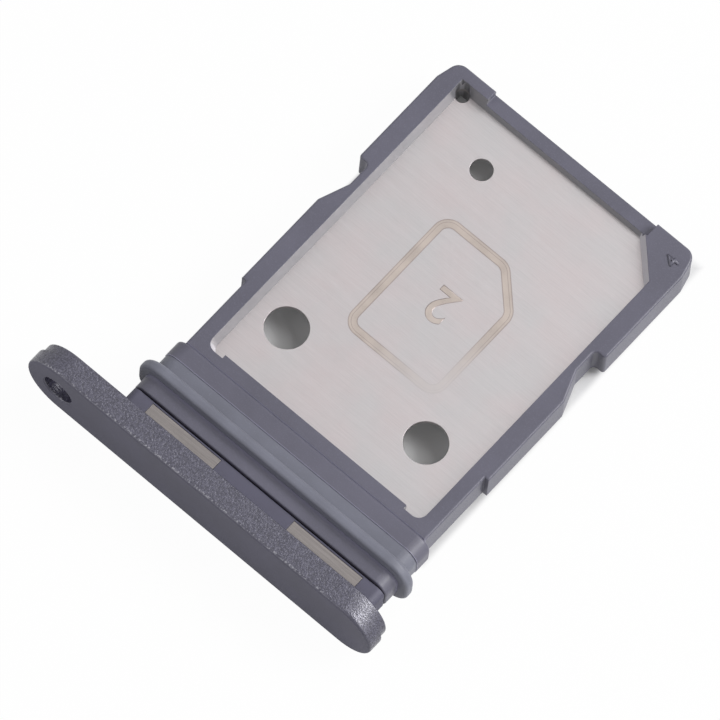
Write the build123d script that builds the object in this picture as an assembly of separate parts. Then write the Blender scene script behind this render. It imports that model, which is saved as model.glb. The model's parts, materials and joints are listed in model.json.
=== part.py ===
from build123d import *
import os

# Sim card tray, in millimetres.
# X runs across the tray and is zero on the frame's centre line.
# Y runs the way the tray slides in and is zero at the middle of the card pocket.
# Z is up and is zero on the steel floor, where the card lies.
# The frame holds one card on each face, so it is the same above and below the steel floor.

# Card and pocket
card_length = 12.30
card_width = 8.80
card_clearance = 0.05
pocket_depth = 0.60
pocket_lead = 0.15
pocket_cut_corner = 1.24
pocket_near_radius = 0.35
pocket_far_radius = 0.12
pocket_relief_radius = 0.25
pocket_relief_inset = 0.09
near_land_side_gap = 0.55

# Steel floor
floor_thickness = 0.15
floor_grip = 0.28
large_hole_diameter = 1.52
large_hole_from_near = 2.26
large_hole_left = -3.20
large_hole_right = 2.80
small_hole_diameter = 0.80
small_hole_from_far = 1.66
small_hole_x = -2.17

# Rails of the frame
rail_width = 0.86
near_rail_relief = 0.17
near_rail_length = 2.42
rail_edge_radius = 0.07
notch_depth = 0.42
notch_ramp_from_near = 6.17
notch_from_near = 7.28
notch_length = 0.93
notch_inner_radius = 0.16
notch_outer_radius = 0.10

# Far end of the frame
far_wall = 0.565
far_wall_drop = 0.32
far_block_width = 1.81
tip_taper_length = 0.88
tip_taper_width = 0.22
tip_radius = 0.42

# Neck of the frame, from the pocket forward
front_wall = 0.54
shoulder_length = 0.66
shoulder_width = 10.84
shoulder_height = 1.60
shoulder_edge_radius = 0.10
flange_length = 0.61
flange_width = 10.82
flange_height = 1.56
flange_edge_radius = 0.07
neck_corner_radius = 0.55
neck_core_inset = 0.26

# Seal round the neck
band_length = 0.51
band_sink = 0.02
lip_length = 0.42
lip_proud = 0.37
lip_corner_radius = 0.92
lip_front_radius = 0.13
lip_back_radius = 0.18

# Metal head bar
bar_length = 14.76
bar_height = 2.62
bar_depth = 0.93
bar_left_end = -8.58
bar_front_radius = 0.10
bar_back_radius = 0.05
bar_step_from_front = 0.56
bar_end_step = 0.10
bar_side_step = 0.01
ejector_hole_diameter = 1.16
ejector_hole_chamfer = 0.05
tongue_length = 0.67
tongue_width = 10.74
tongue_height = 1.34
tongue_corner_radius = 0.28
tongue_gap = 0.04
tenon_length = 1.90
tenon_width = 8.40
tenon_height = 0.50
tenon_window_length = 0.80
tenon_window_width = 1.60
tenon_window_pitch = 4.20
pad_length = 2.96
pad_from_centre = 1.56
pad_back_margin = 0.06
pad_depth = 0.02

# Places worked out from the sizes
pocket_length = card_length + 2 * card_clearance
pocket_width = card_width + 2 * card_clearance
frame_thickness = 2 * pocket_depth + floor_thickness
frame_width = pocket_width + 2 * rail_width
middle_z = -floor_thickness / 2
frame_top = pocket_depth
frame_bottom = -floor_thickness - pocket_depth
near_y = -pocket_length / 2
far_y = pocket_length / 2
far_face_y = far_y + far_wall
front_wall_y = near_y - front_wall
shoulder_y = front_wall_y - shoulder_length
lip_back_y = shoulder_y - band_length
flange_back_y = lip_back_y - lip_length
flange_front_y = flange_back_y - flange_length
tongue_back_y = flange_front_y - tongue_gap
bar_back_y = tongue_back_y - tongue_length
bar_front_y = bar_back_y - bar_depth
core_width = flange_width - 2 * neck_core_inset
core_height = flange_height - 2 * neck_core_inset
core_corner_radius = neck_corner_radius - neck_core_inset
band_width = shoulder_width - 2 * band_sink
band_height = shoulder_height - 2 * band_sink
lip_width = flange_width + 2 * lip_proud
lip_height = flange_height + 2 * lip_proud
far_window_width = frame_width - 2 * far_block_width

# How near two points are to be the same corner
same_place = 1e-4


def cross_section(y):
    """Gives the upright plane across the tray at a place along it, centred on the frame's mid-height."""
    return Plane(origin=(0, y, middle_z), x_dir=(1, 0, 0), z_dir=(0, 1, 0))


def rounded_block(width, height, radius, front, back):
    """Makes a block along Y whose cross-section is a rounded rectangle."""
    return extrude(cross_section(front) * RectangleRounded(width, height, radius), back - front)


def corners_at(face, x, y):
    """Finds the corners of a level outline at a place, and those mirrored across the centre line."""
    here = face.vertices().filter_by(lambda v: abs(v.Y - y) < same_place)
    return here.filter_by(lambda v: abs(abs(v.X) - abs(x)) < same_place)


def pocket_outline(lead):
    """Draws the card pocket, grown by a lead on every side, with the corner that keys the card."""
    right = pocket_width / 2 + lead
    far = far_y + lead
    near = near_y - lead
    cut = pocket_cut_corner + (2 - 2**0.5) * lead
    near_left = (-right, near)
    near_right = (right, near)
    cut_start = (right, far - cut)
    cut_end = (right - cut, far)
    far_left = (-right, far)
    outline = make_face(Polyline(near_left, near_right, cut_start, cut_end, far_left, close=True))
    outline = fillet(corners_at(outline, *near_right), pocket_near_radius)
    outline = fillet(corners_at(outline, *cut_start), pocket_far_radius)
    return fillet(corners_at(outline, *cut_end), pocket_far_radius)


def pocket_cutter(floor_z, top_z):
    """Makes the space over one face of the floor, with walls that lean out towards the opening."""
    floor_outline = Pos(0, 0, floor_z) * pocket_outline(0)
    top_outline = Pos(0, 0, top_z) * pocket_outline(pocket_lead)
    return loft([floor_outline, top_outline], ruled=True)


def corner_relief(bottom, top):
    """Makes the round relief at the far left corner of the pocket, which clears the card's sharp corner."""
    x = -pocket_width / 2 + pocket_relief_inset
    y = far_y - pocket_relief_inset
    return Pos(x, y, bottom) * extrude(Circle(pocket_relief_radius), top - bottom)


def frame_outline():
    """Draws the frame from above: stepped sides, a latch notch in each and tapered far corners."""
    wide = frame_width / 2
    near_half = wide - near_rail_relief
    notch_half = wide - notch_depth
    step_y = near_y + near_rail_length
    ramp_y = near_y + notch_ramp_from_near
    notch_y = near_y + notch_from_near
    notch_end_y = notch_y + notch_length
    taper_y = far_face_y - tip_taper_length
    side = Polyline(
        (0, front_wall_y),
        (near_half, front_wall_y),
        (near_half, step_y),
        (wide, step_y),
        (wide, ramp_y),
        (notch_half, notch_y),
        (notch_half, notch_end_y),
        (wide, notch_end_y),
        (wide, taper_y),
        (wide - tip_taper_width, far_face_y),
        (0, far_face_y),
    )
    outline = make_face(side + mirror(side, Plane.YZ))
    outline = fillet(corners_at(outline, notch_half, notch_end_y), notch_inner_radius)
    outline = fillet(corners_at(outline, wide, notch_end_y), notch_outer_radius)
    return fillet(corners_at(outline, wide - tip_taper_width, far_face_y), tip_radius)


def both_faces(shape):
    """Gives a shape over the frame together with its mirror image under the frame."""
    return shape + mirror(shape, Plane(origin=(0, 0, middle_z), z_dir=(0, 0, 1)))


def far_wall_cutter():
    """Makes what lowers the far wall between the corner blocks."""
    cutter = Pos(0, far_y, frame_top - far_wall_drop) * Box(
        far_window_width,
        2 * far_wall,
        2 * far_wall_drop,
        align=(Align.CENTER, Align.MIN, Align.MIN),
    )
    return both_faces(cutter)


def near_land():
    """Makes the upright land in the middle of the near wall, which the card's edge meets."""
    width = pocket_width - 2 * near_land_side_gap
    land = Pos(0, near_y - front_wall / 2, 0) * Box(
        width,
        front_wall / 2,
        pocket_depth,
        align=(Align.CENTER, Align.MIN, Align.MIN),
    )
    return both_faces(land)


def floor_plate():
    """Makes the stamped steel floor, with its edges held in the frame and three round holes."""
    width = pocket_width + 2 * floor_grip
    length = pocket_length + 2 * floor_grip
    outline = RectangleRounded(width, length, pocket_near_radius)
    large_hole_y = near_y + large_hole_from_near
    for x in (large_hole_left, large_hole_right):
        outline -= Pos(x, large_hole_y) * Circle(large_hole_diameter / 2)
    outline -= Pos(small_hole_x, far_y - small_hole_from_far) * Circle(small_hole_diameter / 2)
    plate = Pos(0, 0, -floor_thickness) * extrude(outline, floor_thickness)
    return plate - corner_relief(frame_bottom, frame_top)


def tongue_and_tenon():
    """Makes the tongue behind the bar and the tenon that the frame is moulded round."""
    tongue = rounded_block(tongue_width, tongue_height, tongue_corner_radius, bar_back_y, tongue_back_y)
    tenon_end_y = tongue_back_y + tenon_length
    tenon_middle = Pos(0, tongue_back_y + tenon_length / 2, middle_z)
    tenon = tenon_middle * Box(tenon_width, tenon_length, tenon_height)
    window_y = tenon_end_y - tenon_window_length
    for x in (-tenon_window_pitch / 2, tenon_window_pitch / 2):
        tenon -= Pos(x, window_y, middle_z) * Box(tenon_window_width, tenon_window_length, 2 * tenon_height)
    return tongue, tenon


def head_bar():
    """Makes the metal head: a bar with round ends, its ejector hole, contact pads, tongue and tenon."""
    bar_middle = bar_left_end + bar_length / 2
    face_profile = Pos(bar_middle, 0) * SlotOverall(bar_length, bar_height)
    face_layer = extrude(cross_section(bar_front_y) * face_profile, bar_step_from_front)
    face_layer = fillet(face_layer.faces().sort_by(Axis.Y)[0].edges(), bar_front_radius)
    rear_length = bar_length - 2 * bar_end_step
    rear_height = bar_height - 2 * bar_side_step
    rear_profile = Pos(bar_middle, 0) * SlotOverall(rear_length, rear_height)
    rear_y = bar_front_y + bar_step_from_front
    rear_layer = extrude(cross_section(rear_y) * rear_profile, bar_depth - bar_step_from_front)
    rear_layer = fillet(rear_layer.faces().sort_by(Axis.Y)[-1].edges(), bar_back_radius)
    bar = face_layer + rear_layer
    hole_x = bar_left_end + bar_height / 2
    hole = Pos(hole_x, 0) * Circle(ejector_hole_diameter / 2)
    bar -= extrude(cross_section(bar_front_y) * hole, bar_depth)
    mouth = bar.faces().sort_by(Axis.Y)[0].inner_wires()[0].edges()
    bar = chamfer(mouth, ejector_hole_chamfer)
    tongue, tenon = tongue_and_tenon()
    pad_z = middle_z + tongue_height / 2 - pad_depth
    pad_width = tongue_length - pad_back_margin
    for side in (-1, 1):
        pad_x = side * (pad_from_centre + pad_length / 2)
        pad = Pos(pad_x, bar_back_y, pad_z) * Box(
            pad_length, pad_width, 2 * pad_depth, align=(Align.CENTER, Align.MIN, Align.MIN)
        )
        tongue -= pad
    return bar + tongue + tenon


def neck():
    """Makes the front end of the frame: shoulder, sunk core for the seal and front flange."""
    shoulder = rounded_block(shoulder_width, shoulder_height, neck_corner_radius, shoulder_y, front_wall_y)
    shoulder = fillet(shoulder.faces().sort_by(Axis.Y)[-1].edges(), shoulder_edge_radius)
    core = rounded_block(core_width, core_height, core_corner_radius, flange_back_y, shoulder_y)
    flange = rounded_block(flange_width, flange_height, neck_corner_radius, flange_front_y, flange_back_y)
    flange = fillet(flange.faces().sort_by(Axis.Y)[0].edges(), flange_edge_radius)
    return shoulder + core + flange


def tray_frame():
    """Makes the moulded frame round the steel floor and the tenon."""
    body = Pos(0, 0, frame_bottom) * extrude(frame_outline(), frame_thickness)
    top_edges = body.faces().sort_by(Axis.Z)[-1].edges()
    bottom_edges = body.faces().sort_by(Axis.Z)[0].edges()
    body = fillet(top_edges + bottom_edges, rail_edge_radius)
    pocket = pocket_cutter(middle_z, frame_top)
    body -= both_faces(pocket)
    body += near_land()
    body -= far_wall_cutter()
    body -= corner_relief(frame_bottom, frame_top)
    body += neck()
    tongue, tenon = tongue_and_tenon()
    body -= tenon
    return body - floor_plate()


def seal_ring():
    """Makes the rubber seal: a flat band and a rounded lip, stretched over the neck's core."""
    band = rounded_block(band_width, band_height, neck_corner_radius, lip_back_y, shoulder_y)
    lip = rounded_block(lip_width, lip_height, lip_corner_radius, flange_back_y, lip_back_y)
    lip = fillet(lip.faces().sort_by(Axis.Y)[0].edges(), lip_front_radius)
    lip = fillet(lip.faces().sort_by(Axis.Y)[-1].edges(), lip_back_radius)
    core = rounded_block(core_width, core_height, core_corner_radius, flange_back_y, shoulder_y)
    return band + lip - core


def main():
    """Writes each piece of the tray to its own file."""
    os.makedirs("parts", exist_ok=True)
    pieces = {
        "head_bar": head_bar(),
        "tray_frame": tray_frame(),
        "floor_plate": floor_plate(),
        "seal_ring": seal_ring(),
    }
    for name, piece in pieces.items():
        export_step(piece, f"parts/{name}.step")


main()
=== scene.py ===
"""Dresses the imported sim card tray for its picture.

The four CAD pieces keep their shape and get their finishes here. Blender adds the bare contact pads in
the metal head, the laser-marked card outline and number on the steel floor and the raised cavity number
on the moulded frame, and then the floor, the lamps and the camera.
"""

import json
import logging
import math
from dataclasses import dataclass
from enum import Enum

import bmesh
import bpy
from mathutils import Matrix, Vector

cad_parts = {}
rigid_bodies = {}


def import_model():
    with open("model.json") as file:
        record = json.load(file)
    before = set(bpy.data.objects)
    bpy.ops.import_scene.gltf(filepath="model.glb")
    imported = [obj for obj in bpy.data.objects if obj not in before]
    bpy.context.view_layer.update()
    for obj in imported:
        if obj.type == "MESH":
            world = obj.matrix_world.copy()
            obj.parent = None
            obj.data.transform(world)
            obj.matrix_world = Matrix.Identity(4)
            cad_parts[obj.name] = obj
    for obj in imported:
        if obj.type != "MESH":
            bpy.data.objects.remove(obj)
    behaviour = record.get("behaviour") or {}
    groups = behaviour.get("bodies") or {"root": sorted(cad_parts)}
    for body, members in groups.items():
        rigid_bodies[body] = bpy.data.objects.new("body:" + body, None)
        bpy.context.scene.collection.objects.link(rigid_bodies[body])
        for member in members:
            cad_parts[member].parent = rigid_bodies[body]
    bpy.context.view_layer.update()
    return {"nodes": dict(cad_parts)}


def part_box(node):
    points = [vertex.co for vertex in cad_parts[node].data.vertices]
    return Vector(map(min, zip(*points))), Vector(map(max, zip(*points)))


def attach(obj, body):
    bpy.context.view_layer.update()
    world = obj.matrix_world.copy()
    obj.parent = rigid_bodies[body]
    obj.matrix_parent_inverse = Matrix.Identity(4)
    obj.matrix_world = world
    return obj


LOG = logging.getLogger("sim_card_tray")
MM = 0.001
BODY = "root"

Colour = tuple[float, float, float]
Socket = bpy.types.NodeSocket


class Slot(Enum):
    """The names of the record's material slots; nothing in this script reads them."""

    HEAD = "head_metal"
    FRAME = "frame_plastic"
    FLOOR = "floor_steel"


class Side(Enum):
    """Which half of the tray a piece is in, as the sign of its X."""

    LEFT = -1
    RIGHT = 1


class Graph:
    """Adds nodes to a shader tree and links them, with short calls."""

    def __init__(self, tree: bpy.types.NodeTree) -> None:
        """Keeps the tree that the other calls add to."""
        self.tree = tree

    def node(self, kind: str, **settings: object) -> bpy.types.Node:
        """Adds one node.

        Args:
            kind: the node's type name.
            **settings: the properties to set on it.

        Returns:
            The new node.
        """
        made = self.tree.nodes.new(kind)
        for name, value in settings.items():
            setattr(made, name, value)
        return made

    def feed(self, socket: Socket, value: object) -> None:
        """Links a socket into another one, or sets that one to a plain value.

        Args:
            socket: the input to fill.
            value: an output socket, or a number, colour or vector.
        """
        if isinstance(value, Socket):
            self.tree.links.new(value, socket)
        elif socket.type == "RGBA":
            socket.default_value = (*value, 1.0)
        else:
            socket.default_value = value

    def math(self, operation: str, *values: object) -> Socket:
        """Adds a sum, product or other operation on numbers.

        Args:
            operation: Blender's name of the operation.
            *values: numbers or output sockets.

        Returns:
            The result's socket.
        """
        made = self.node("ShaderNodeMath", operation=operation)
        for socket, value in zip(made.inputs, values):
            self.feed(socket, value)
        return made.outputs[0]

    def spread(self, value: Socket, low: float, high: float, start: float, end: float) -> Socket:
        """Maps a number smoothly from one range to another, never past its ends.

        Args:
            value: the number's socket.
            low: where the first range starts.
            high: where the first range ends.
            start: the result at low.
            end: the result at high.

        Returns:
            The result's socket.
        """
        made = self.node("ShaderNodeMapRange", interpolation_type="SMOOTHSTEP")
        for socket, number in zip(made.inputs, (value, low, high, start, end)):
            self.feed(socket, number)
        return made.outputs[0]

    def mix(self, share: object, first: object, second: object) -> Socket:
        """Mixes two colours.

        Args:
            share: how much of the second colour shows, from 0 to 1.
            first: a colour or its socket.
            second: a colour or its socket.

        Returns:
            The mixed colour's socket.
        """
        made = self.node("ShaderNodeMix", data_type="RGBA")
        self.feed(made.inputs["Factor"], share)
        first_in, second_in = [socket for socket in made.inputs if socket.type == "RGBA"]
        self.feed(first_in, first)
        self.feed(second_in, second)
        return next(socket for socket in made.outputs if socket.type == "RGBA")

    def place(self) -> Socket:
        """Gives the surface's own coordinates, in metres."""
        return self.node("ShaderNodeTexCoord").outputs["Object"]

    def noise(self, place: Socket, scale: object, detail: float, roughness: float) -> Socket:
        """Adds a cloudy pattern.

        Args:
            place: the coordinates to read.
            scale: patches in a metre.
            detail: how many finer layers it has.
            roughness: how strong the finer layers are.

        Returns:
            The pattern's socket, from 0 to 1.
        """
        made = self.node("ShaderNodeTexNoise")
        values = {"Vector": place, "Scale": scale, "Detail": detail, "Roughness": roughness}
        for name, value in values.items():
            self.feed(made.inputs[name], value)
        return made.outputs[0]

    def effect(self, group: bpy.types.NodeTree, **inputs: object) -> bpy.types.Node:
        """Places a shared effect.

        Args:
            group: the effect's node group.
            **inputs: its values, by socket name with underscores for spaces.

        Returns:
            The group's node.
        """
        made = self.node("ShaderNodeGroup", node_tree=group)
        for name, value in inputs.items():
            self.feed(made.inputs[name.replace("_", " ")], value)
        return made

    def bump(self, height: Socket, distance: float, normal: Socket) -> Socket:
        """Adds a fine relief.

        Args:
            height: the relief, from 0 to 1.
            distance: how high 1 is, in metres.
            normal: the surface direction that the relief starts from.

        Returns:
            The new surface direction's socket.
        """
        made = self.node("ShaderNodeBump")
        made.inputs["Distance"].default_value = distance
        self.feed(made.inputs["Height"], height)
        self.feed(made.inputs["Normal"], normal)
        return made.outputs["Normal"]


class Effects:
    """The surface effects that several finishes share, each a node group built once."""

    def __init__(self) -> None:
        """Builds every group."""
        self.grain = self.build_grain()
        self.streaks = self.build_streaks()
        self.edges = self.build_edges()

    def start(self, name: str, inputs: dict[str, float], outputs: dict[str, str]) -> Graph:
        """Starts a node group with named sockets.

        Args:
            name: the group's name.
            inputs: each number that goes in, with its usual value.
            outputs: each socket that comes out, with its type.

        Returns:
            A graph on the new group.
        """
        tree = bpy.data.node_groups.new(name, "ShaderNodeTree")
        for label, value in inputs.items():
            socket = tree.interface.new_socket(label, in_out="INPUT", socket_type="NodeSocketFloat")
            socket.default_value = value
        for label, kind in outputs.items():
            tree.interface.new_socket(label, in_out="OUTPUT", socket_type=kind)
        return Graph(tree)

    def build_grain(self) -> bpy.types.NodeTree:
        """Builds a fine grain over broad soft patches.

        Returns:
            The group, which puts out Fine and Patches, from 0 to 1.
        """
        graph = self.start(
            "surface_grain",
            {"Grain Size": 0.05 * MM, "Patch Size": 2 * MM},
            {"Fine": "NodeSocketFloat", "Patches": "NodeSocketFloat"},
        )
        given = graph.node("NodeGroupInput")
        result = graph.node("NodeGroupOutput")
        place = graph.place()
        fine_scale = graph.math("DIVIDE", 1.0, given.outputs["Grain Size"])
        patch_scale = graph.math("DIVIDE", 1.0, given.outputs["Patch Size"])
        graph.feed(result.inputs["Fine"], graph.noise(place, fine_scale, 2.0, 0.55))
        patches = graph.noise(place, patch_scale, 3.0, 0.5)
        graph.feed(result.inputs["Patches"], graph.spread(patches, 0.3, 0.7, 0.0, 1.0))
        return graph.tree

    def build_streaks(self) -> bpy.types.NodeTree:
        """Builds the short lines that brushing leaves along X.

        Returns:
            The group, which puts out Streaks, from 0 to 1.
        """
        graph = self.start(
            "brush_streaks",
            {"Pitch": 0.03 * MM, "Run": 1.5 * MM},
            {"Streaks": "NodeSocketFloat"},
        )
        given = graph.node("NodeGroupInput")
        result = graph.node("NodeGroupOutput")
        across = graph.math("DIVIDE", 1.0, given.outputs["Pitch"])
        along = graph.math("DIVIDE", 1.0, given.outputs["Run"])
        stretch = graph.node("ShaderNodeCombineXYZ")
        for socket, value in zip(stretch.inputs, (along, across, across)):
            graph.feed(socket, value)
        scaled = graph.node("ShaderNodeVectorMath", operation="MULTIPLY")
        graph.feed(scaled.inputs[0], graph.place())
        graph.feed(scaled.inputs[1], stretch.outputs[0])
        graph.feed(result.inputs["Streaks"], graph.noise(scaled.outputs[0], 1.0, 3.0, 0.6))
        return graph.tree

    def build_edges(self) -> bpy.types.NodeTree:
        """Builds softly broken edges, and a mask of where they are.

        Returns:
            The group, which puts out Edge, from 0 to 1, and Normal.
        """
        graph = self.start(
            "broken_edges",
            {"Radius": 0.03 * MM},
            {"Edge": "NodeSocketFloat", "Normal": "NodeSocketVector"},
        )
        given = graph.node("NodeGroupInput")
        result = graph.node("NodeGroupOutput")
        rounded = graph.node("ShaderNodeBevel", samples=6)
        graph.feed(rounded.inputs["Radius"], given.outputs["Radius"])
        surface = graph.node("ShaderNodeNewGeometry")
        turned = graph.node("ShaderNodeVectorMath", operation="DOT_PRODUCT")
        graph.feed(turned.inputs[0], rounded.outputs[0])
        graph.feed(turned.inputs[1], surface.outputs["Normal"])
        graph.feed(result.inputs["Edge"], graph.spread(turned.outputs["Value"], 0.7, 0.995, 1.0, 0.0))
        graph.feed(result.inputs["Normal"], rounded.outputs[0])
        return graph.tree


@dataclass(frozen=True)
class Finish:
    """What every finish has: a name, its main colour and how dull it is."""

    name: str
    colour: Colour
    roughness: float

    def start(self, metallic: float) -> tuple[bpy.types.Material, Graph, bpy.types.Node]:
        """Makes the material with its shader.

        Args:
            metallic: 1 for bare metal, 0 for plastic and rubber, little for metal under a film.

        Returns:
            The material, a graph on its nodes, and its shader.
        """
        material = bpy.data.materials.new(self.name)
        material.use_nodes = True
        shader = next(node for node in material.node_tree.nodes if node.type == "BSDF_PRINCIPLED")
        shader.inputs["Metallic"].default_value = metallic
        material.diffuse_color = (*self.colour, 1.0)
        return material, Graph(material.node_tree), shader

    def shades(self, darker: float, lighter: float) -> tuple[Colour, Colour]:
        """Gives a darker and a lighter version of the main colour.

        Args:
            darker: what the dark version is multiplied by.
            lighter: what the light version is multiplied by.

        Returns:
            The dark and the light colour.
        """
        dark = tuple(part * darker for part in self.colour)
        light = tuple(part * lighter for part in self.colour)
        return dark, light

    def tone(self, factor: float) -> Colour:
        """Gives the main colour times a factor."""
        return tuple(part * factor for part in self.colour)


@dataclass(frozen=True)
class BlastedMetal(Finish):
    """Metal under an anodic film: bead-blasted round its flank, smoother on its face and tongue; its glints
    are painted highlights and its darker front face is painted shade.
    """

    front_y: float
    back_y: float
    pits: Colour = (0.019, 0.017, 0.036)
    grains: Colour = (0.09, 0.086, 0.13)
    # Painted highlight: the colour that the painted glints pull the base colour towards.
    painted_glint: Colour = (0.4, 0.395, 0.43)
    film_metallic: float = 0.15
    film_gloss: float = 1.0
    grain_size: float = 0.06 * MM
    patch_size: float = 1.4 * MM
    edge_radius: float = 0.025 * MM
    relief: float = 0.014 * MM
    tongue_blend: float = 0.01 * MM
    smooth_relief: float = 0.05
    # The painted line of glints runs along the edge where the blasting starts behind the front face; how
    # far it reaches, and where it stops short of the right end.
    edge_from_front: float = 0.075 * MM
    edge_reach: float = 0.055 * MM
    painted_glints_end_x: float = 4.6 * MM
    # Painted shade: the front face is painted darker than the tongue, though both have the same finish.
    painted_face_shade: float = 0.84

    def build(self, effects: Effects) -> bpy.types.Material:
        """Makes the material.

        Args:
            effects: the shared node groups.

        Returns:
            The finished material.
        """
        material, graph, shader = self.start(self.film_metallic)
        shader.inputs["Specular IOR Level"].default_value = self.film_gloss
        grain = graph.effect(effects.grain, Grain_Size=self.grain_size, Patch_Size=self.patch_size)
        edges = graph.effect(effects.edges, Radius=self.edge_radius)
        split = graph.node("ShaderNodeSeparateXYZ")
        graph.feed(split.inputs[0], graph.place())
        along = split.outputs["Y"]
        edge_y = self.front_y + self.edge_from_front
        behind_front = graph.spread(along, self.front_y, edge_y, 0.0, 1.0)
        tongue_start = self.back_y - self.tongue_blend
        before_tongue = graph.spread(along, tongue_start, self.back_y + self.tongue_blend, 1.0, 0.0)
        blasted = graph.math("MULTIPLY", behind_front, before_tongue)
        # Mask of the painted glint line along the front edge, stopping before the bar's right end.
        off_edge = graph.math("ABSOLUTE", graph.math("SUBTRACT", along, edge_y))
        at_edge = graph.spread(off_edge, 0.0, self.edge_reach, 1.0, 0.0)
        left_of_end = graph.spread(split.outputs["X"], self.painted_glints_end_x - MM, self.painted_glints_end_x, 1.0, 0.0)
        on_edge = graph.math("MULTIPLY", at_edge, left_of_end)
        dark, light = self.shades(0.9, 1.1)
        tongue = graph.mix(grain.outputs["Patches"], dark, light)
        # Painted shade: the front face takes the tongue's colour, painted darker.
        face_dark, face_light = self.shades(0.9 * self.painted_face_shade, 1.1 * self.painted_face_shade)
        face = graph.mix(grain.outputs["Patches"], face_dark, face_light)
        smooth = graph.mix(before_tongue, tongue, face)
        contrast = graph.spread(grain.outputs["Fine"], 0.34, 0.66, 0.0, 1.0)
        flank = graph.mix(contrast, self.pits, self.grains)
        metal = graph.mix(blasted, smooth, flank)
        # Painted highlights: glints scattered over the blasted flank, and a denser line of them along the
        # front edge, painted into the base colour.
        painted_sparks = graph.spread(grain.outputs["Fine"], 0.66, 0.78, 0.0, 0.3)
        denser = graph.spread(grain.outputs["Fine"], 0.52, 0.64, 0.0, 0.7)
        painted_edge_glints = graph.math("MULTIPLY", denser, on_edge)
        painted_glints = graph.math("MAXIMUM", graph.math("MULTIPLY", painted_sparks, blasted), painted_edge_glints)
        graph.feed(shader.inputs["Base Color"], graph.mix(painted_glints, metal, self.painted_glint))
        amount = graph.spread(blasted, 0.0, 1.0, self.smooth_relief, 1.0)
        height = graph.math("MULTIPLY", grain.outputs["Fine"], amount)
        dulled = graph.spread(height, 0.0, 0.7, self.roughness + 0.36, self.roughness - 0.1)
        graph.feed(shader.inputs["Roughness"], dulled)
        graph.feed(shader.inputs["Normal"], graph.bump(height, self.relief, edges.outputs["Normal"]))
        return material


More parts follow.
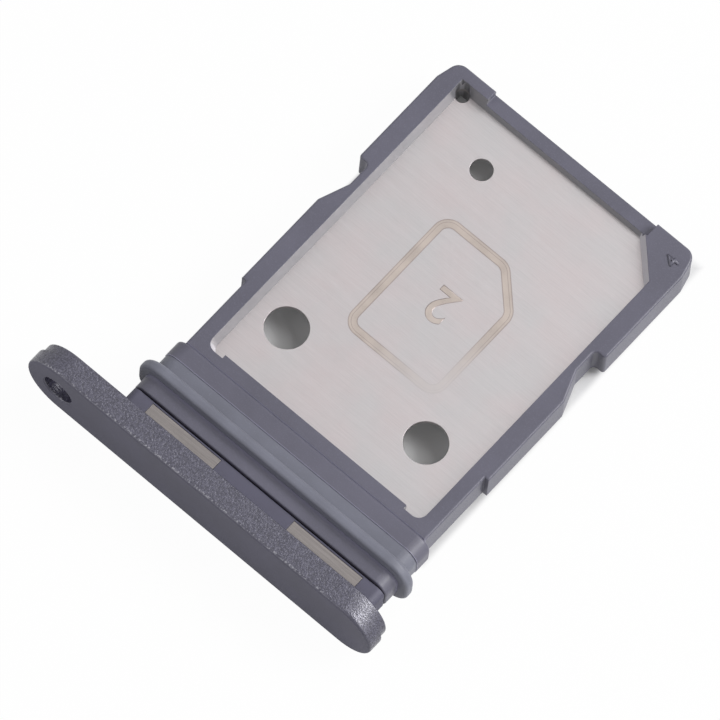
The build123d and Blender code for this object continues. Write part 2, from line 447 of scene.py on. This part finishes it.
@dataclass(frozen=True)
class SatinPlastic(Finish):
    """Moulded plastic: finely spark-eroded, rubbed at its edges and polished on the pocket's walls; painted
    light pales its inner edges, the neck's creases and the pocket's walls.
    """

    pocket_x: float
    pocket_y: float
    # Painted light in the neck's creases: where it lies along Y, how far it reaches and how strong it is.
    painted_light_corners: tuple[tuple[float, float, float], ...]
    # Painted light: paler colours for the pocket's walls, the palest for walls that face the corners at a
    # slant.
    painted_light_wall: Colour = (0.202, 0.2, 0.217)
    painted_light_cut_wall: Colour = (0.5, 0.49, 0.53)
    wall_roughness: float = 0.3
    wall_relief: float = 0.05
    grain_size: float = 0.045 * MM
    patch_size: float = 2.6 * MM
    edge_radius: float = 0.035 * MM
    relief: float = 0.0022 * MM
    fleck_tone: float = 1.6
    # Paler edges: wear on the outer edges, and painted light in the inner corners, which the edge mask also
    # covers.
    rubbed_and_painted_light_share: float = 0.55
    rubbed_and_painted_light_tone: float = 1.9
    dust_and_crease_light_tone: float = 3.0

    def pocket_walls(self, graph: Graph) -> tuple[Socket, Socket]:
        """Finds the leaning walls of the pocket, which the steel of the mould polished, and gives them a
        paler colour as painted light.

        Args:
            graph: the material's graph.

        Returns:
            The mask's socket, 1 on those walls, and the socket of their painted-light colour.
        """
        place = graph.node("ShaderNodeSeparateXYZ")
        graph.feed(place.inputs[0], graph.place())
        facing = graph.node("ShaderNodeSeparateXYZ")
        graph.feed(facing.inputs[0], graph.node("ShaderNodeNewGeometry").outputs["Normal"])
        across = graph.math("LESS_THAN", graph.math("ABSOLUTE", place.outputs["X"]), self.pocket_x)
        along = graph.math("LESS_THAN", graph.math("ABSOLUTE", place.outputs["Y"]), self.pocket_y)
        upright = graph.spread(graph.math("ABSOLUTE", facing.outputs["Z"]), 0.35, 0.6, 1.0, 0.0)
        inside = graph.math("MULTIPLY", across, along)
        mask = graph.math("MULTIPLY", inside, upright)
        # The walls that face the corners at a slant get the palest painted light.
        slant = graph.math("ABSOLUTE", facing.outputs["Y"])
        off_side = graph.spread(slant, 0.3, 0.6, 0.0, 1.0)
        off_end = graph.spread(slant, 0.8, 0.95, 1.0, 0.0)
        keyed = graph.math("MULTIPLY", off_side, off_end)
        return mask, graph.mix(keyed, self.painted_light_wall, self.painted_light_cut_wall)

    def dust_and_crease_light(self, graph: Graph) -> Socket:
        """Finds the corners of the neck, which are painted paler as painted light against the shade that
        falls in them.

        Args:
            graph: the material's graph.

        Returns:
            The mask's socket, from 0 to 1.
        """
        place = graph.node("ShaderNodeSeparateXYZ")
        graph.feed(place.inputs[0], graph.place())
        mask = 0.0
        for corner_y, reach, share in self.painted_light_corners:
            off = graph.math("ABSOLUTE", graph.math("SUBTRACT", place.outputs["Y"], corner_y))
            mask = graph.math("MAXIMUM", graph.spread(off, 0.0, reach, share, 0.0), mask)
        return mask

    def build(self, effects: Effects) -> bpy.types.Material:
        """Makes the material.

        Args:
            effects: the shared node groups.

        Returns:
            The finished material.
        """
        material, graph, shader = self.start(metallic=0.0)
        grain = graph.effect(effects.grain, Grain_Size=self.grain_size, Patch_Size=self.patch_size)
        edges = graph.effect(effects.edges, Radius=self.edge_radius)
        walls, wall_colour = self.pocket_walls(graph)
        dark, light = self.shades(0.9, 1.1)
        mottled = graph.mix(grain.outputs["Patches"], dark, light)
        flecks = graph.spread(grain.outputs["Fine"], 0.5, 0.75, 0.0, 0.35)
        flecked = graph.mix(flecks, mottled, self.tone(self.fleck_tone))
        # Paler edges: wear on the outer edges, and painted light against the shade in the inner corners.
        rubbed_and_painted_light = graph.math("MULTIPLY", edges.outputs["Edge"], self.rubbed_and_painted_light_share)
        worn_and_painted_light = graph.mix(rubbed_and_painted_light, flecked, self.tone(self.rubbed_and_painted_light_tone))
        # Painted light: the neck's creases are painted paler against the shade that falls in them.
        crease_lightened = graph.mix(self.dust_and_crease_light(graph), worn_and_painted_light, self.tone(self.dust_and_crease_light_tone))
        graph.feed(shader.inputs["Base Color"], graph.mix(walls, crease_lightened, wall_colour))
        dulled = graph.spread(grain.outputs["Fine"], 0.3, 0.7, self.roughness - 0.06, self.roughness + 0.08)
        coarse = graph.spread(walls, 0.0, 1.0, 1.0, self.wall_relief)
        duller = graph.math("MULTIPLY", graph.math("SUBTRACT", dulled, self.wall_roughness), coarse)
        graph.feed(shader.inputs["Roughness"], graph.math("ADD", duller, self.wall_roughness))
        height = graph.math("MULTIPLY", grain.outputs["Fine"], coarse)
        graph.feed(shader.inputs["Normal"], graph.bump(height, self.relief, edges.outputs["Normal"]))
        return material


@dataclass(frozen=True)
class BrushedSteel(Finish):
    """Stainless sheet, brushed along X, with a faint warm and cool cast in patches."""

    warm: Colour = (0.442, 0.399, 0.405)
    cool: Colour = (0.418, 0.406, 0.413)
    relief: float = 0.0009 * MM
    grain_size: float = 0.06 * MM
    patch_size: float = 2.2 * MM
    edge_radius: float = 0.02 * MM
    fine_pitch: float = 0.035 * MM
    fine_run: float = 0.9 * MM
    broad_pitch: float = 0.16 * MM
    broad_run: float = 5.0 * MM
    line_tone: float = 0.82
    streak_tone: float = 1.1

    def build(self, effects: Effects) -> bpy.types.Material:
        """Makes the material.

        Args:
            effects: the shared node groups.

        Returns:
            The finished material.
        """
        material, graph, shader = self.start(metallic=1.0)
        grain = graph.effect(effects.grain, Grain_Size=self.grain_size, Patch_Size=self.patch_size)
        fine_lines = graph.effect(effects.streaks, Pitch=self.fine_pitch, Run=self.fine_run)
        fine = fine_lines.outputs["Streaks"]
        broad_lines = graph.effect(effects.streaks, Pitch=self.broad_pitch, Run=self.broad_run)
        broad = broad_lines.outputs["Streaks"]
        edges = graph.effect(effects.edges, Radius=self.edge_radius)
        cast = graph.mix(grain.outputs["Patches"], self.warm, self.cool)
        lined = graph.mix(graph.spread(fine, 0.35, 0.65, 0.0, 0.35), cast, self.tone(self.line_tone))
        streaked = graph.mix(graph.spread(broad, 0.4, 0.7, 0.0, 0.25), lined, self.tone(self.streak_tone))
        graph.feed(shader.inputs["Base Color"], streaked)
        dulled = graph.spread(fine, 0.3, 0.7, self.roughness - 0.07, self.roughness + 0.09)
        graph.feed(shader.inputs["Roughness"], dulled)
        graph.feed(shader.inputs["Normal"], graph.bump(fine, self.relief, edges.outputs["Normal"]))
        return material


@dataclass(frozen=True)
class SealRubber(Finish):
    """Smooth silicone with a soft bloom of dust."""

    gloss: float = 0.42
    sheen: float = 0.12
    sheen_roughness: float = 0.5
    grain_size: float = 0.06 * MM
    patch_size: float = 1.6 * MM
    edge_radius: float = 0.025 * MM
    dust_and_crease_light_tone: float = 1.6
    relief: float = 0.0012 * MM

    def build(self, effects: Effects) -> bpy.types.Material:
        """Makes the material.

        Args:
            effects: the shared node groups.

        Returns:
            The finished material.
        """
        material, graph, shader = self.start(metallic=0.0)
        shader.inputs["Specular IOR Level"].default_value = self.gloss
        shader.inputs["Sheen Weight"].default_value = self.sheen
        shader.inputs["Sheen Roughness"].default_value = self.sheen_roughness
        grain = graph.effect(effects.grain, Grain_Size=self.grain_size, Patch_Size=self.patch_size)
        edges = graph.effect(effects.edges, Radius=self.edge_radius)
        dark, light = self.shades(0.92, 1.1)
        mottled = graph.mix(grain.outputs["Patches"], dark, light)
        # On the rubber this is only dust, in random pale specks.
        dust_and_crease_light = graph.spread(grain.outputs["Fine"], 0.58, 0.75, 0.0, 0.25)
        graph.feed(shader.inputs["Base Color"], graph.mix(dust_and_crease_light, mottled, self.tone(self.dust_and_crease_light_tone)))
        duller = self.roughness + 0.06
        dulled = graph.spread(grain.outputs["Patches"], 0.0, 1.0, self.roughness - 0.05, duller)
        graph.feed(shader.inputs["Roughness"], dulled)
        rounded = graph.bump(grain.outputs["Fine"], self.relief, edges.outputs["Normal"])
        graph.feed(shader.inputs["Normal"], rounded)
        return material


@dataclass(frozen=True)
class BareContact(Finish):
    """Metal bared by a laser, dull, with the close lines of its passes."""

    grain_size: float = 0.035 * MM
    patch_size: float = 0.9 * MM
    pass_pitch: float = 0.03 * MM
    pass_run: float = 2.0 * MM
    edge_radius: float = 0.01 * MM
    soiled_share: float = 0.3
    relief: float = 0.0016 * MM

    def build(self, effects: Effects) -> bpy.types.Material:
        """Makes the material.

        Args:
            effects: the shared node groups.

        Returns:
            The finished material.
        """
        material, graph, shader = self.start(metallic=1.0)
        grain = graph.effect(effects.grain, Grain_Size=self.grain_size, Patch_Size=self.patch_size)
        lines = graph.effect(effects.streaks, Pitch=self.pass_pitch, Run=self.pass_run)
        passes = lines.outputs["Streaks"]
        edges = graph.effect(effects.edges, Radius=self.edge_radius)
        dark, light = self.shades(0.86, 1.1)
        lined = graph.mix(graph.spread(passes, 0.35, 0.65, 0.0, 1.0), dark, light)
        soiled = graph.spread(grain.outputs["Patches"], 0.0, 1.0, 0.0, self.soiled_share)
        graph.feed(shader.inputs["Base Color"], graph.mix(soiled, lined, dark))
        dulled = graph.spread(grain.outputs["Fine"], 0.3, 0.7, self.roughness - 0.06, self.roughness + 0.08)
        graph.feed(shader.inputs["Roughness"], dulled)
        graph.feed(shader.inputs["Normal"], graph.bump(passes, self.relief, edges.outputs["Normal"]))
        return material


@dataclass(frozen=True)
class LaserMark(Finish):
    """Steel tinted by a marking laser, whose mark is faint at one corner."""

    steel: Colour = (0.42, 0.398, 0.405)
    faint_corner: tuple[float, float, float] = (2.0 * MM, -2.6 * MM, 0.0)
    faint_core: float = 0.3 * MM
    faint_reach: float = 3.4 * MM
    faintest: float = 0.8
    least_faint: float = 0.08
    grain_size: float = 0.03 * MM
    patch_size: float = 0.8 * MM

    def fading(self, graph: Graph) -> Socket:
        """Says how much of the bare steel shows through the mark.

        Args:
            graph: the material's graph.

        Returns:
            The share's socket.
        """
        apart = graph.node("ShaderNodeVectorMath", operation="DISTANCE")
        graph.feed(apart.inputs[0], graph.place())
        graph.feed(apart.inputs[1], self.faint_corner)
        away = apart.outputs["Value"]
        return graph.spread(away, self.faint_core, self.faint_reach, self.faintest, self.least_faint)

    def build(self, effects: Effects) -> bpy.types.Material:
        """Makes the material.

        Args:
            effects: the shared node groups.

        Returns:
            The finished material.
        """
        material, graph, shader = self.start(metallic=1.0)
        grain = graph.effect(effects.grain, Grain_Size=self.grain_size, Patch_Size=self.patch_size)
        dark, light = self.shades(0.85, 1.12)
        burnt = graph.mix(grain.outputs["Patches"], dark, light)
        flecks = graph.spread(grain.outputs["Fine"], 0.35, 0.65, 0.0, 0.5)
        marked = graph.mix(flecks, burnt, light)
        graph.feed(shader.inputs["Base Color"], graph.mix(self.fading(graph), marked, self.steel))
        dulled = graph.spread(grain.outputs["Fine"], 0.3, 0.7, self.roughness - 0.08, self.roughness + 0.08)
        graph.feed(shader.inputs["Roughness"], dulled)
        return material


def new_piece(
    name: str, mesh: bmesh.types.BMesh, materials: list[bpy.types.Material]
) -> bpy.types.Object:
    """Turns a finished bmesh into a piece of the object.

    Args:
        name: the piece's name.
        mesh: its shape, in place, in metres.
        materials: its finishes, by material index.

    Returns:
        The piece, riding on the tray.
    """
    bmesh.ops.recalc_face_normals(mesh, faces=mesh.faces)
    data = bpy.data.meshes.new(name)
    mesh.to_mesh(data)
    mesh.free()
    for material in materials:
        data.materials.append(material)
    piece = bpy.data.objects.new(name, data)
    bpy.context.scene.collection.objects.link(piece)
    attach(piece, BODY)
    LOG.info("%s: %d faces", name, len(data.polygons))
    return piece


def number_face(text: str, height: float, swell: float, turn: float, centre: Vector) -> bmesh.types.BMesh:
    """Draws a plain number as flat faces.

    Args:
        text: the number.
        height: how tall its figures are, in metres.
        swell: how far its outline is moved out, as a share of the letter size.
        turn: its angle about Z, in radians.
        centre: its middle.

    Returns:
        A bmesh of the number, in place.
    """
    curve = bpy.data.curves.new("number", "FONT")
    curve.body = text
    curve.align_x = "CENTER"
    curve.align_y = "CENTER"
    curve.offset = swell
    drawing = bpy.data.objects.new("number", curve)
    flat = bpy.data.meshes.new_from_object(drawing)
    bpy.data.objects.remove(drawing)
    mesh = bmesh.new()
    mesh.from_mesh(flat)
    bpy.data.meshes.remove(flat)
    bmesh.ops.remove_doubles(mesh, verts=mesh.verts, dist=1e-5)
    bmesh.ops.dissolve_limit(mesh, angle_limit=math.radians(1), verts=mesh.verts, edges=mesh.edges)
    low = min(vert.co.y for vert in mesh.verts)
    high = max(vert.co.y for vert in mesh.verts)
    left = min(vert.co.x for vert in mesh.verts)
    right = max(vert.co.x for vert in mesh.verts)
    middle = Matrix.Translation((-(left + right) / 2, -(low + high) / 2, 0))
    size = Matrix.Scale(height / (high - low), 4)
    move = Matrix.Translation(centre) @ Matrix.Rotation(turn, 4, "Z") @ size @ middle
    bmesh.ops.transform(mesh, matrix=move, verts=mesh.verts)
    return mesh


@dataclass
class HeadBar:
    """The metal head, with the two contact pads bared in its tongue."""

    bar_depth: float = 0.93 * MM
    tongue_top: float = 0.595 * MM
    pad_width: float = 0.61 * MM
    pad_length: float = 2.96 * MM
    pad_from_centre: float = 1.56 * MM
    pad_depth: float = 0.02 * MM
    pad_margin: float = 0.015 * MM
    pad_below_top: float = 0.004 * MM
    edge: float = 0.004 * MM

    def dress(self, node: bpy.types.Object, effects: Effects) -> None:
        """Gives the CAD piece its finish.

        Args:
            node: the head bar's object.
            effects: the shared node groups.
        """
        front_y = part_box("head_bar")[0].y
        back_y = front_y + self.bar_depth
        metal = BlastedMetal("blasted_metal", (0.054, 0.051, 0.088), 0.27, front_y, back_y)
        node.material_slots[0].material = metal.build(effects)
        LOG.info("%s: dressed", node.name)

    def build_pad(self, side: Side, material: bpy.types.Material) -> bpy.types.Object:
        """Models one contact pad in its recess.

        Args:
            side: which pad.
            material: its finish.

        Returns:
            The pad.
        """
        back_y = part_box("head_bar")[0].y + self.bar_depth
        middle = Vector((
            side.value * (self.pad_from_centre + self.pad_length / 2),
            back_y + self.pad_width / 2,
            self.tongue_top - (self.pad_depth + self.pad_below_top) / 2,
        ))
        size = Vector((
            self.pad_length - 2 * self.pad_margin,
            self.pad_width - 2 * self.pad_margin,
            self.pad_depth - self.pad_below_top,
        ))
        mesh = bmesh.new()
        bmesh.ops.create_cube(mesh, size=1.0)
        bmesh.ops.scale(mesh, vec=size, verts=mesh.verts)
        upper = [edge for edge in mesh.edges if all(vert.co.z > 0 for vert in edge.verts)]
        bmesh.ops.bevel(
            mesh, geom=upper, offset=self.edge, segments=2, profile=0.5, affect="EDGES", material=-1
        )
        bmesh.ops.translate(mesh, vec=middle, verts=mesh.verts)
        return new_piece(f"contact_pad_{side.name.lower()}", mesh, [material])

    def build(self, effects: Effects) -> None:
        """Makes both pads.

        Args:
            effects: the shared node groups.
        """
        bared = BareContact("bared_contact", (0.213, 0.196, 0.191), 0.5).build(effects)
        for side in Side:
            self.build_pad(side, bared)


@dataclass
class FloorPlate:
    """The steel floor, with a laser-marked outline of a card and the card's number."""

    mark_width: float = 4.08 * MM
    mark_length: float = 5.28 * MM
    mark_cut: float = 1.33 * MM
    mark_radius: float = 0.6 * MM
    cut_radius: float = 0.25 * MM
    line_width: float = 0.035 * MM
    middle_line: float = 0.022 * MM
    outer_band: float = 0.065 * MM
    inner_band: float = 0.17 * MM
    mark_height: float = 0.003 * MM
    number_height: float = 1.3 * MM
    number_line: float = 0.024 * MM
    number_swell: float = 0.015

    def dress(self, node: bpy.types.Object, effects: Effects) -> None:
        """Gives the CAD piece its finish.

        Args:
            node: the floor's object.
            effects: the shared node groups.
        """
        steel = BrushedSteel("brushed_steel", (0.43, 0.406, 0.413), 0.36)
        node.material_slots[0].material = steel.build(effects)
        LOG.info("%s: dressed", node.name)

    def card_face(self, top: float) -> bmesh.types.BMesh:
        """Draws the card's outline as one flat face with round corners.

        Args:
            top: the height it lies at.

        Returns:
            A bmesh with that face.
        """
        right = self.mark_width / 2
        far = self.mark_length / 2
        mesh = bmesh.new()
        near_left = mesh.verts.new((-right, -far, top))
        near_right = mesh.verts.new((right, -far, top))
        cut_start = mesh.verts.new((right, far - self.mark_cut, top))
        cut_end = mesh.verts.new((right - self.mark_cut, far, top))
        far_left = mesh.verts.new((-right, far, top))
        mesh.faces.new((near_left, near_right, cut_start, cut_end, far_left))
        for corners, radius in (
            ([near_left, near_right, far_left], self.mark_radius),
            ([cut_start, cut_end], self.cut_radius),
        ):
            bmesh.ops.bevel(
                mesh, geom=corners, offset=radius, segments=10, profile=0.5, affect="VERTICES", material=-1
            )
        return mesh

    def build_outline(self, materials: list[bpy.types.Material]) -> bpy.types.Object:
        """Models the marked outline: two light bands between three burnt lines.

        Args:
            materials: the finishes of the lines and of the band.

        Returns:
            The mark.
        """
        mesh = self.card_face(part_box("floor_plate")[1].z)
        inside = mesh.faces[:]
        rings = (
            (self.line_width, 0),
            (self.outer_band, 1),
            (self.middle_line, 0),
            (self.inner_band, 1),
            (self.line_width, 0),
        )
        for width, index in rings:
            ring = bmesh.ops.inset_region(
                mesh, faces=inside, thickness=width, use_even_offset=True, use_boundary=True
            )
            for face in ring["faces"]:
                face.material_index = index
        bmesh.ops.delete(mesh, geom=inside, context="FACES")
        bmesh.ops.solidify(mesh, geom=mesh.faces[:], thickness=self.mark_height)
        self.lift(mesh)
        return new_piece("card_outline_mark", mesh, materials)

    def lift(self, mesh: bmesh.types.BMesh) -> None:
        """Raises a mark so that its lower face lies on the steel.

        Args:
            mesh: the mark's shape.
        """
        low = min(vert.co.z for vert in mesh.verts)
        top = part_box("floor_plate")[1].z
        bmesh.ops.translate(mesh, vec=(0, 0, top - low), verts=mesh.verts)

    def build_number(self, materials: list[bpy.types.Material]) -> bpy.types.Object:
        """Models the marked number of the card, which is read from the far end.

        Args:
            materials: the finishes of the lines and of the band.

        Returns:
            The mark.
        """
        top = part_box("floor_plate")[1].z
        mesh = number_face("2", self.number_height, self.number_swell, math.pi, Vector((0, 0, top)))
        inside = mesh.faces[:]
        rim = bmesh.ops.inset_region(
            mesh, faces=inside, thickness=self.number_line, use_even_offset=True, use_boundary=True
        )
        for face in inside:
            face.material_index = 1
        for face in rim["faces"]:
            face.material_index = 0
        bmesh.ops.solidify(mesh, geom=mesh.faces[:], thickness=self.mark_height)
        self.lift(mesh)
        return new_piece("card_number_mark", mesh, materials)

    def build(self, effects: Effects) -> None:
        """Makes the laser marks.

        Args:
            effects: the shared node groups.
        """
        burnt = LaserMark("burnt_line", (0.265, 0.226, 0.214), 0.4).build(effects)
        pale = LaserMark("pale_band", (0.378, 0.326, 0.293), 0.38).build(effects)
        self.build_outline([burnt, pale])
        self.build_number([burnt, pale])


@dataclass
class TrayFrame:
    """The moulded frame, with a raised cavity number on its keyed corner."""

    number_height: float = 0.5 * MM
    number_raise: float = 0.03 * MM
    number_swell: float = 0.02
    number_from_right: float = 0.74 * MM
    number_from_far: float = 0.72 * MM
    rail_top: float = 0.6 * MM
    # Painted light in the neck's creases, each: where it lies along Y, how far it reaches and how strong it
    # is.
    painted_light_corners: tuple[tuple[float, float, float], ...] = (
        (-6.715 * MM, 0.055 * MM, 0.55),
        (-7.395 * MM, 0.032 * MM, 0.9),
        (-8.34 * MM, 0.2 * MM, 0.9),
    )

    def dress(self, node: bpy.types.Object, effects: Effects) -> None:
        """Gives the CAD piece its finish.

        Args:
            node: the frame's object.
            effects: the shared node groups.
        """
        plate_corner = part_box("floor_plate")[1]
        plastic = SatinPlastic(
            "satin_plastic",
            (0.106, 0.103, 0.139),
            0.36,
            plate_corner.x,
            plate_corner.y,
            self.painted_light_corners,
        )
        node.material_slots[0].material = plastic.build(effects)
        LOG.info("%s: dressed", node.name)

    def build(self, node: bpy.types.Object) -> None:
        """Models the raised number.

        Args:
            node: the frame's object, whose finish the number shares.
        """
        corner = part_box("tray_frame")[1]
        centre = Vector((corner.x - self.number_from_right, corner.y - self.number_from_far, self.rail_top))
        mesh = number_face("4", self.number_height, self.number_swell, math.pi / 2, centre)
        grown = bmesh.ops.extrude_face_region(mesh, geom=mesh.faces[:], use_keep_orig=True)["geom"]
        raised = [part for part in grown if isinstance(part, bmesh.types.BMVert)]
        bmesh.ops.translate(mesh, vec=(0, 0, self.number_raise), verts=raised)
        new_piece("cavity_number", mesh, [node.material_slots[0].material])


@dataclass
class SealRing:
    """The rubber seal round the neck."""

    def dress(self, node: bpy.types.Object, effects: Effects) -> None:
        """Gives the CAD piece its finish.

        Args:
            node: the seal's object.
            effects: the shared node groups.
        """
        rubber = SealRubber("silicone_seal", (0.163, 0.167, 0.208), 0.5)
        node.material_slots[0].material = rubber.build(effects)
        LOG.info("%s: dressed", node.name)


@dataclass(frozen=True)
class Lamp:
    """A soft square lamp that shines at the tray."""

    name: str
    towards: tuple[float, float, float]
    distance: float
    width: float
    power: float

    def build(self, target: Vector) -> None:
        """Makes the lamp.

        Args:
            target: the point it shines at.
        """
        data = bpy.data.lights.new(self.name, "AREA")
        data.size = self.width
        data.energy = self.power
        lamp = bpy.data.objects.new(self.name, data)
        direction = Vector(self.towards).normalized()
        lamp.location = target + direction * self.distance
        lamp.rotation_euler = direction.to_track_quat("Z", "Y").to_euler()
        bpy.context.scene.collection.objects.link(lamp)


@dataclass
class Studio:
    """The pale floor, the soft light and the camera at the photograph's angle."""

    floor_half: float = 0.5
    floor_albedo: float = 0.88
    floor_glow: float = 0.97
    floor_mirrored: float = 0.45
    floor_under: float = 0.05
    under_mirrored: float = 0.3
    first_bounce: float = 1.5
    side_margin: float = 0.35 * MM
    side_blend: float = 0.3 * MM
    near_blend: float = 0.5 * MM
    far_margin: float = 0.3 * MM
    far_blend: float = 0.4 * MM
    world_fill: float = 0.16
    azimuth: float = 34.71
    elevation: float = 67.39
    roll: float = 6.95
    distance: float = 444.9 * MM
    target: tuple[float, float] = (-0.694 * MM, -3.191 * MM)
    focal_pixels: float = 13709.0
    image_side: int = 720
    sensor_width: float = 36.0
    clip_range: tuple[float, float] = (0.01, 10.0)
    lamps: tuple[Lamp, ...] = (
        Lamp("key_lamp", (0.6, 0.5, 0.62), 0.34, 0.16, 0.78),
        Lamp("right_lamp", (0.95, 0.1, 0.28), 0.34, 0.36, 0.38),
        Lamp("back_lamp", (0.2, 0.53, 0.82), 0.36, 0.2, 0.36),
        Lamp("left_lamp", (-0.55, -0.7, 0.45), 0.36, 0.3, 0.42),
    )

    def seen_by_camera(self, graph: Graph) -> Socket:
        """Tells the rays that show a background from those that only carry light.

        Args:
            graph: the material's or world's graph.

        Returns:
            A socket that is 1 for camera, glossy and transmitted rays, and 0 for the rest.
        """
        rays = graph.node("ShaderNodeLightPath")
        seen = graph.math("MAXIMUM", rays.outputs["Is Camera Ray"], rays.outputs["Is Glossy Ray"])
        return graph.math("MAXIMUM", seen, rays.outputs["Is Transmission Ray"])

    def off_plate(self, graph: Graph) -> Socket:
        """Finds the floor that doesn't lie under the tray's steel plate.

        Args:
            graph: the floor material's graph.

        Returns:
            The mask's socket, 0 under the plate and 1 round it.
        """
        split = graph.node("ShaderNodeSeparateXYZ")
        graph.feed(split.inputs[0], graph.place())
        plate_low, plate_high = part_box("floor_plate")
        across = graph.math("ABSOLUTE", split.outputs["X"])
        side_start = plate_high.x + self.side_margin
        beside = graph.spread(across, side_start, side_start + self.side_blend, 0.0, 1.0)
        before = graph.spread(split.outputs["Y"], plate_low.y - self.near_blend, plate_low.y, 1.0, 0.0)
        far_start = plate_high.y + self.far_margin
        beyond = graph.spread(split.outputs["Y"], far_start, far_start + self.far_blend, 0.0, 1.0)
        return graph.math("MAXIMUM", beside, graph.math("MAXIMUM", before, beyond))

    def floor_finish(self) -> bpy.types.Material:
        """Makes the floor's white, which keeps the tray's shadow and is seen through from below.

        Returns:
            The material.
        """
        material = bpy.data.materials.new("studio_floor")
        material.use_nodes = True
        graph = Graph(material.node_tree)
        material.node_tree.nodes.clear()
        matte = graph.node("ShaderNodeBsdfDiffuse")
        graph.feed(matte.inputs["Color"], (self.floor_albedo,) * 3)
        glow = graph.node("ShaderNodeEmission")
        rays = graph.node("ShaderNodeLightPath")
        lit = graph.math("MAXIMUM", self.off_plate(graph), self.floor_under)
        camera_glow = graph.math("MULTIPLY", rays.outputs["Is Camera Ray"], self.floor_glow)
        direct = graph.math("MULTIPLY", camera_glow, lit)
        bounced = graph.math("MAXIMUM", rays.outputs["Is Glossy Ray"], rays.outputs["Is Transmission Ray"])
        first = graph.math("LESS_THAN", rays.outputs["Ray Depth"], self.first_bounce)
        mirror_glow = graph.math("MULTIPLY", bounced, self.floor_mirrored)
        below = graph.math("MULTIPLY", first, self.under_mirrored)
        mirrored = graph.math("MULTIPLY", mirror_glow, graph.math("MAXIMUM", below, lit))
        mixed = graph.node("ShaderNodeMixShader")
        graph.feed(mixed.inputs[0], graph.math("MAXIMUM", direct, mirrored))
        graph.feed(mixed.inputs[1], matte.outputs[0])
        graph.feed(mixed.inputs[2], glow.outputs[0])
        from_below = graph.node("ShaderNodeMixShader")
        graph.feed(from_below.inputs[0], graph.node("ShaderNodeNewGeometry").outputs["Backfacing"])
        graph.feed(from_below.inputs[1], mixed.outputs[0])
        graph.feed(from_below.inputs[2], graph.node("ShaderNodeBsdfTransparent").outputs[0])
        graph.feed(graph.node("ShaderNodeOutputMaterial").inputs["Surface"], from_below.outputs[0])
        return material

    def build_floor(self) -> None:
        """Lays the floor where the bar's lower back edge and the frame's far end rest on it."""
        bar_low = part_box("head_bar")[0]
        plate_low, plate_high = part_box("floor_plate")
        far_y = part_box("tray_frame")[1].y
        near = Vector((0, bar_low.y + HeadBar.bar_depth, bar_low.z))
        far = Vector((0, far_y, plate_low.z + plate_high.z - TrayFrame.rail_top))
        slope = (far.z - near.z) / (far.y - near.y)
        mesh = bmesh.new()
        bmesh.ops.create_grid(mesh, x_segments=2, y_segments=2, size=self.floor_half)
        for vert in mesh.verts:
            vert.co.z = near.z + (vert.co.y - near.y) * slope
        data = bpy.data.meshes.new("studio_floor")
        mesh.to_mesh(data)
        mesh.free()
        data.materials.append(self.floor_finish())
        floor = bpy.data.objects.new("studio_floor", data)
        bpy.context.scene.collection.objects.link(floor)

    def build_world(self) -> None:
        """Makes the white surroundings, which light the tray evenly."""
        world = bpy.data.worlds.new("studio_world")
        bpy.context.scene.world = world
        world.use_nodes = True
        graph = Graph(world.node_tree)
        sky = next(node for node in world.node_tree.nodes if node.type == "BACKGROUND")
        graph.feed(sky.inputs["Color"], (1.0, 1.0, 1.0))
        strength = graph.spread(self.seen_by_camera(graph), 0.0, 1.0, self.world_fill, 1.0)
        graph.feed(sky.inputs["Strength"], strength)

    def build_camera(self) -> None:
        """Sets the camera up at the photograph's viewing angle."""
        data = bpy.data.cameras.new("photo_camera")
        data.sensor_width = self.sensor_width
        data.lens = self.focal_pixels * data.sensor_width / self.image_side
        data.clip_start, data.clip_end = self.clip_range
        azimuth = math.radians(self.azimuth)
        elevation = math.radians(self.elevation)
        roll = math.radians(self.roll)
        level = math.cos(elevation)
        back = Vector((math.sin(azimuth) * level, -math.cos(azimuth) * level, math.sin(elevation)))
        right = Vector((0, 0, 1)).cross(back).normalized()
        up = back.cross(right)
        turned_right = math.cos(roll) * right + math.sin(roll) * up
        turned_up = math.cos(roll) * up - math.sin(roll) * right
        turn = Matrix((turned_right, turned_up, back)).transposed()
        camera = bpy.data.objects.new("photo_camera", data)
        place = Vector((*self.target, 0)) + back * self.distance
        camera.matrix_world = Matrix.Translation(place) @ turn.to_4x4()
        bpy.context.scene.collection.objects.link(camera)
        bpy.context.scene.camera = camera

    def build(self) -> None:
        """Makes the whole studio."""
        self.build_floor()
        self.build_world()
        for lamp in self.lamps:
            lamp.build(Vector((*self.target, 0)))
        self.build_camera()
        bpy.context.scene.view_settings.view_transform = "Standard"


def main() -> None:
    """Loads the tray, dresses it piece by piece and sets up the picture."""
    logging.basicConfig(level=logging.INFO, format="%(name)s %(message)s")
    for old in list(bpy.data.objects):
        bpy.data.objects.remove(old)
    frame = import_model()
    nodes = frame["nodes"]
    effects = Effects()
    head = HeadBar()
    head.dress(nodes["head_bar"], effects)
    head.build(effects)
    moulding = TrayFrame()
    moulding.dress(nodes["tray_frame"], effects)
    moulding.build(nodes["tray_frame"])
    plate = FloorPlate()
    plate.dress(nodes["floor_plate"], effects)
    plate.build(effects)
    SealRing().dress(nodes["seal_ring"], effects)
    Studio().build()


if __name__ == "__main__":
    main()
